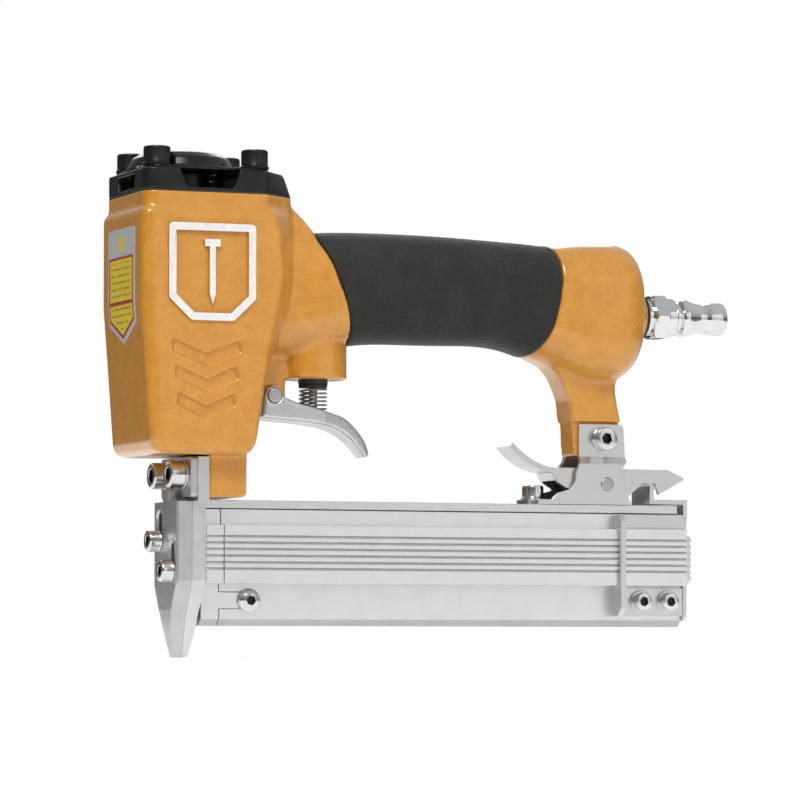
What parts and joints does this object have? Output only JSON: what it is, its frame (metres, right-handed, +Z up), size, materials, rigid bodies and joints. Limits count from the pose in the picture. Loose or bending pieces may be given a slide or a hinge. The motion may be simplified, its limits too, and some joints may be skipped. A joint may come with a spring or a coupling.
{
  "type": "brad nailer",
  "caption": "Pneumatic brad nailer with a cast body, rubber grip, sprung trigger, steel nose, side-loading ribbed magazine with a rear latch, and a quick-connect air plug.",
  "frame": {"origin": "tip of the nose, on the driver's axis", "axes": "+X along the magazine towards the air plug, +Z up along the driver towards the cap, +Y to the side away from the side screw"},
  "size_m": [0.2099, 0.0436, 0.16],
  "materials": {
    "orange_paint": "hammertone metallic orange paint",
    "grip_rubber": "leather-grained matte",
    "black_cast": "satin black coat",
    "black_plate": "gloss black coat",
    "gasket": "fibre",
    "black_screw": "black oxide",
    "liner": "hard anodised",
    "seal_rubber": "matte",
    "bumper": "matte",
    "piston_alloy": "turned",
    "hard_steel": "ground",
    "valve_plastic": "moulded",
    "spring_steel": "drawn wire",
    "trigger_alloy": "tumbled cast",
    "pin_steel": "ground",
    "nose_steel": "satin nickel plate",
    "screw_steel": "bright zinc plate",
    "magazine_rail": "anodised",
    "magazine_alloy": "satin anodised extrusion",
    "pusher_steel": "stamped",
    "end_block": "moulded",
    "latch_sheet": "nickel plated sheet",
    "lever_steel": "nickel plated sheet",
    "pad_steel": "ribbed",
    "dark_washer": "black oxide",
    "plug_chrome": "mirror",
    "emblem_white": "satin white",
    "label": "printed film"
  },
  "bodies": {
    "tool": {"body_housing": "orange_paint", "grip_sleeve": "grip_rubber", "cylinder_cap": "black_cast", "exhaust_plate": "black_plate", "cap_gasket": "gasket", "cap_screws": "black_screw", "cap_washers": "black_screw", "cylinder_liner": "liner", "liner_o_rings": "seal_rubber", "bumper": "bumper", "head_valve_spring": "spring_steel", "trigger_pin": "pin_steel", "trigger_spring": "spring_steel", "valve_bushing": "valve_plastic", "valve_o_rings": "seal_rubber", "valve_retaining_ring": "hard_steel", "nose_guide": "nose_steel", "nose_retainer": "nose_steel", "nose_cover": "nose_steel", "nose_upper_screws": "screw_steel", "nose_upper_washers": "screw_steel", "nose_lower_screws": "screw_steel", "magazine_core": "magazine_rail", "magazine_front": "magazine_alloy", "magazine_side_screw": "screw_steel", "latch_bracket": "latch_sheet", "latch_pin": "pin_steel", "latch_bracket_screw": "screw_steel", "latch_bracket_nut": "screw_steel", "latch_base_screw": "screw_steel", "latch_base_washer": "dark_washer", "latch_spring": "spring_steel", "air_plug": "plug_chrome", "plug_seal": "seal_rubber", "emblem": "emblem_white", "front_label": "label"},
    "trigger": {"trigger": "trigger_alloy"},
    "valve_stem": {"valve_stem": "hard_steel"},
    "piston": {"piston": "piston_alloy", "piston_o_ring": "seal_rubber", "driver_blade": "hard_steel", "piston_roll_pin": "hard_steel"},
    "head_valve": {"head_valve": "valve_plastic", "head_valve_seal": "seal_rubber"},
    "magazine": {"magazine_cover": "magazine_alloy", "magazine_end_block": "end_block", "magazine_end_plate": "latch_sheet", "finger_pad": "pad_steel", "end_bracket": "latch_sheet", "end_bracket_screws": "screw_steel", "end_bracket_washers": "screw_steel", "pusher_rod": "pin_steel", "pusher_spring": "spring_steel"},
    "pusher": {"pusher": "pusher_steel"},
    "latch": {"latch_lever": "lever_steel"}
  },
  "joints": [
    {"name": "trigger_pivot", "type": "hinge", "parent": "tool", "child": "trigger", "pos_m": [0.0297, 0, 0.0831], "axis": [0, -1, 0], "range_deg": [0, 9], "stiffness_Nm_per_rad": 0.2, "springref_deg": -5.73},
    {"name": "valve_stem_slide", "type": "slide", "parent": "tool", "child": "valve_stem", "axis": [0, 0, 1], "range_m": [0, 0.00245], "deforming": ["trigger_spring"]},
    {"name": "piston_slide", "type": "slide", "parent": "tool", "child": "piston", "axis": [0, 0, -1], "range_m": [0, 0.0424]},
    {"name": "head_valve_slide", "type": "slide", "parent": "tool", "child": "head_valve", "axis": [0, 0, 1], "range_m": [0, 0.002], "stiffness_N_per_m": 500, "deforming": ["head_valve_spring"]},
    {"name": "magazine_slide", "type": "slide", "parent": "tool", "child": "magazine", "axis": [1, 0, 0], "range_m": [0, 0.1]},
    {"name": "pusher_slide", "type": "slide", "parent": "magazine", "child": "pusher", "axis": [1, 0, 0], "range_m": [0, 0.1], "stiffness_N_per_m": 20, "springref_m": -0.02, "deforming": ["pusher_spring"]},
    {"name": "latch_pivot", "type": "hinge", "parent": "tool", "child": "latch", "pos_m": [0.1446, 0, 0.0564], "axis": [0, -1, 0], "range_deg": [0, 10], "stiffness_Nm_per_rad": 0.1, "springref_deg": -5.73}
  ],
  "couplings": [
    {"joint": "valve_stem_slide", "follows": "trigger_pivot", "m_per_rad": 0.0155}
  ]
}
